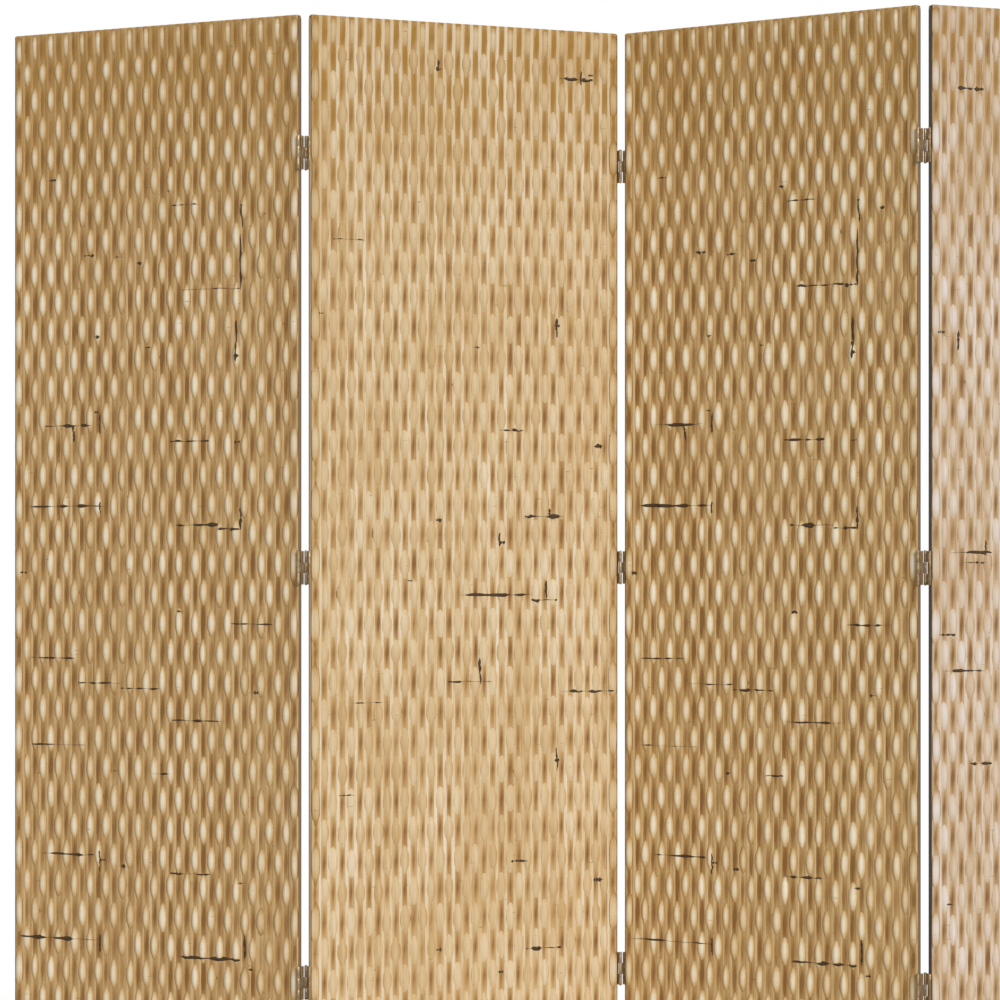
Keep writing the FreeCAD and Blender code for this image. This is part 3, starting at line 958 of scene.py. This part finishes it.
def leaves(gap, panel, side, material):
    """One panel's leaves at a gap: plates on its edge, knuckles above and below the link's, and screws.

    side is 1 for the right edge of the left panel and -1 for the left edge of the right panel.
    """
    name, pin_name = ("left", "front") if side > 0 else ("right", "back")
    pin = panel.local(pin_middle(gap, pin_name))
    edge = side * panel.half_width
    face = edge + side * PLATE_THICKNESS
    a0, a1 = sorted((edge, face))
    plates = Plates(panel)
    for z in hinge_heights(gap):
        bottom = z - HINGE_HEIGHT / 2
        plates.plate(a0, a1, z)
        plates.knuckle(a0, a1, pin, bottom)
        plates.knuckle(a0, a1, pin, bottom + HINGE_HEIGHT - KNUCKLE_HEIGHT)
        for row in (-1, 0, 1):
            plates.screw(face, z + row * SCREW_PITCH, side)
    plates.finish(f"hinge_{name}_leaves_{gap}", panel.body, material, "hinge_brass")


def links(gap, left, right, material):
    """The plates between a gap's leaves, each with a middle knuckle on either pin.

    They stand in line with the left panel where the gap folds back, and with the right one where it folds
    forward.
    """
    folds_back = left.across[0] * right.across[1] - left.across[1] * right.across[0] > 0
    middles = [pin_middle(gap, name) for name in ("front", "back")]
    upright = Upright(sum(middles)[:2] / 2, left.across if folds_back else right.across)
    half = PLATE_THICKNESS / 2
    plates = Plates(upright)
    for z in hinge_heights(gap):
        plates.plate(-half, half, z)
        for middle in middles:
            plates.knuckle(-half, half, upright.local(middle), z - KNUCKLE_HEIGHT / 2)
    plates.finish(f"hinge_links_{gap}", f"link_{gap}", material, "hinge_brass")


def pins(gap, name, panel, material):
    """A gap's pins on one face, each with a domed head above and below its knuckles."""
    middle = panel.local(pin_middle(gap, name))
    bars = Plates(panel)
    turn = np.radians(PIN_HEAD_ANGLES)
    dome = list(zip(PIN_HEAD_RADIUS * np.cos(turn), PIN_HEAD_HEIGHT * np.sin(turn)))
    for z in hinge_heights(gap):
        top = z + HINGE_HEIGHT / 2
        bottom = z - HINGE_HEIGHT / 2
        rings = [(r, bottom - h) for r, h in reversed(dome)]
        rings += [(PIN_RADIUS, bottom), (PIN_RADIUS, top)]
        rings += [(r, top + h) for r, h in dome]
        bars.lathe(middle, rings)
    bars.finish(f"hinge_{name}_pins_{gap}", panel.body, material, "pin_brass")


def floor_and_light():
    """A pale floor, a soft key from the front right and a surround that looks white."""
    bpy.ops.mesh.primitive_plane_add(size=1.0, location=FLOOR_MIDDLE)
    floor = bpy.context.object
    floor.name = "floor"
    floor.scale = FLOOR_SIZE
    n = Nodes(bpy.data.materials.new("floor"))
    n.shade(Base_Color=FLOOR_COLOUR, Roughness=FLOOR_ROUGHNESS)
    floor.data.materials.append(n.block)
    key = bpy.data.lights.new("key", "SUN")
    key.energy = KEY_ENERGY
    key.angle = KEY_ANGLE
    key.color = KEY_COLOUR
    lamp = bpy.data.objects.new("key", key)
    lamp.rotation_euler = Vector(KEY_DIRECTION).to_track_quat("-Z", "Y").to_euler()
    bpy.context.scene.collection.objects.link(lamp)
    n = Nodes(bpy.data.worlds.new("studio"))
    bpy.context.scene.world = n.block
    light = n.tree.nodes["Background"]
    n.set(light.inputs["Color"], SURROUND_COLOUR)
    n.set(light.inputs["Strength"], SURROUND_STRENGTH)
    white = n.add("Background", {"Color": WHITE})
    path = n.add("LightPath").outputs
    mirrored = n.math("MAXIMUM", path["Is Glossy Ray"], path["Is Transmission Ray"])
    seen = n.math("MAXIMUM", path["Is Camera Ray"], mirrored)
    choice = n.add("MixShader", {"Fac": seen, 1: light.outputs[0], 2: white.outputs[0]})
    n.set(n.tree.nodes["World Output"].inputs["Surface"], choice.outputs[0])


def camera():
    """A level camera with the photograph's place, lens and framing."""
    lens = bpy.data.cameras.new("camera")
    lens.sensor_width = SENSOR
    lens.lens = FOCAL_LENGTH_PIXELS * SENSOR / IMAGE_SIZE
    lens.shift_y = HORIZON_ROW / IMAGE_SIZE - 0.5
    viewer = bpy.data.objects.new("camera", lens)
    viewer.location = CAMERA_PLACE
    viewer.rotation_euler = (math.pi / 2, 0.0, 0.0)
    bpy.context.scene.collection.objects.link(viewer)
    bpy.context.scene.camera = viewer


panels = {number: Panel(number) for number in PANELS}
for number, panel in panels.items():
    rush = rush_material(f"rush_{number}", LOOKS[number])
    fronts = []
    strands, stems = Weave(panel, fronts), Weave(panel, fronts)
    for k in range(STRANDS):
        strands.add_strand(k)
    for k in range(STRANDS):
        stems.add_stems(k)
    for count, (a, z, half) in enumerate(fleck_paths(panel, *FLECK_TABLES[number])):
        stems.add_fleck(a, z, half, count)
    strands.finish("rush_strands", rush)
    stems.finish("rush_stems", rush)

for number, panel in panels.items():
    # Painted light and shade: the stiles of panel 2 are pale and those of panel 4 dark
    stile_wood = wood_material(f"stile_wood_{number}", None, STILE_COLOURS_AND_PAINTED_LIGHT[number])
    turn = math.atan2(panel.across[1], panel.across[0])
    bar_wood = wood_material(f"bar_wood_{number}", turn, BAR_STAIN)
    for name, material in (
        ("left_stile", stile_wood),
        ("right_stile", stile_wood),
        ("top_rail", bar_wood),
        ("bottom_rail", bar_wood),
        ("cross_laths", bar_wood),
    ):
        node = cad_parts[f"{name}_{number}"]
        node.data.materials.clear()
        node.data.materials.append(material)

hinge_brass = brass_material("hinge_brass", *HINGE_BRASS)
pin_brass = brass_material("pin_brass", *PIN_BRASS)
for gap in GAPS:
    left, right = panels[gap], panels[gap + 1]
    leaves(gap, left, 1, hinge_brass)
    leaves(gap, right, -1, hinge_brass)
    links(gap, left, right, hinge_brass)
    pins(gap, "front", left, pin_brass)
    pins(gap, "back", right, pin_brass)

floor_and_light()
camera()
bpy.context.scene.view_settings.view_transform = "Standard"
